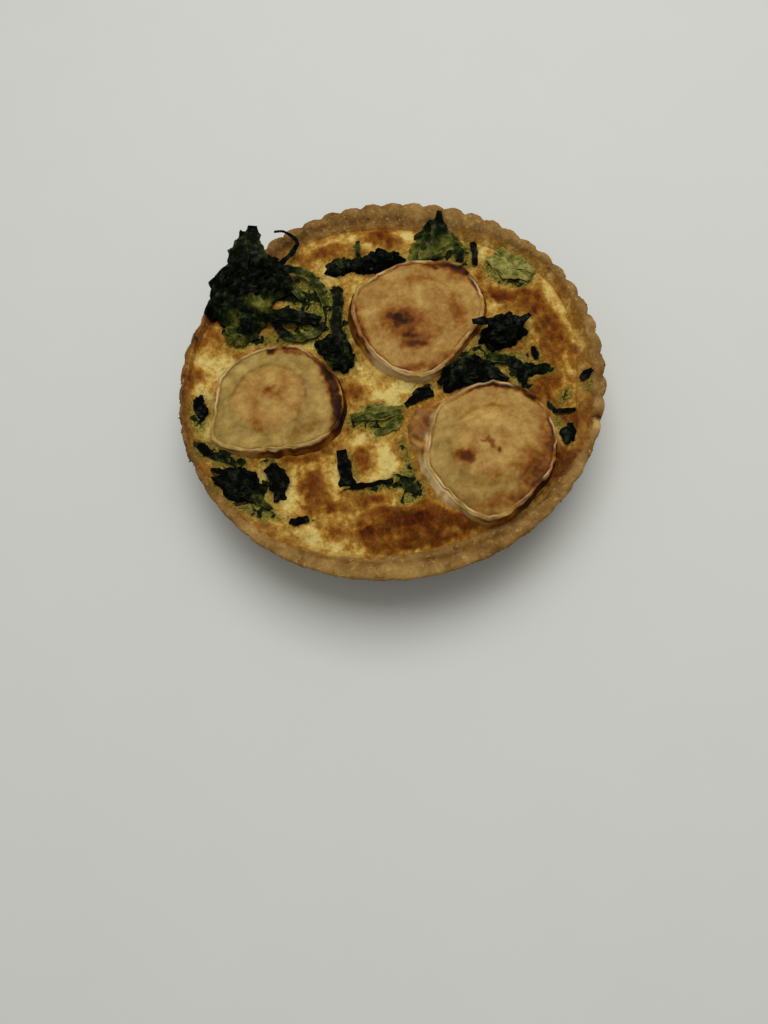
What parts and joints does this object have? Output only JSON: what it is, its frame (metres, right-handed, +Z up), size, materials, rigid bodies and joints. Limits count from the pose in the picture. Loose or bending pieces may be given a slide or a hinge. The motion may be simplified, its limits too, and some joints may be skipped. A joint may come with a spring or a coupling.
{
  "type": "quiche",
  "caption": "Small round quiche: fluted pastry case filled with browned set custard, topped with goat's cheese slices and wilted spinach.",
  "frame": {"origin": "centre of the flat underside of the crust", "axes": "+Z up out of the filling, +Y to the rear, where the picture's flutes are finest, +X to the right"},
  "size_m": [0.1503, 0.1508, 0.0378],
  "materials": {
    "pastry": "dry golden baked shortcrust, uneven browning",
    "custard": "soft satin set egg custard with browned puffed patches",
    "cheese": "roasted goat's cheese, satin, with a paler wrinkled rind",
    "spinach": "wilted dark green leaf, slightly waxy"
  },
  "bodies": {
    "root": {"cheese_left": "cheese", "cheese_rear": "cheese", "cheese_right": "cheese", "crust": "pastry", "custard": "custard", "spinach_between_rear": "spinach", "spinach_bits_front": "spinach", "spinach_bits_left": "spinach", "spinach_bits_right": "spinach", "spinach_clump_front_left": "spinach", "spinach_disc_right": "spinach", "spinach_fleck_front": "spinach", "spinach_fleck_right": "spinach", "spinach_fleck_rim": "spinach", "spinach_heap_rear_left": "spinach", "spinach_leaf_bent": "spinach", "spinach_leaf_centre": "spinach", "spinach_leaf_pale": "spinach", "spinach_leaf_rear": "spinach", "spinach_middle": "spinach", "spinach_oval_front": "spinach", "spinach_oval_left": "spinach", "spinach_spiky": "spinach", "spinach_stalks": "spinach", "spinach_strand_rear": "spinach", "spinach_strand_right": "spinach", "spinach_strip_rear": "spinach"}
  },
  "joints": []
}
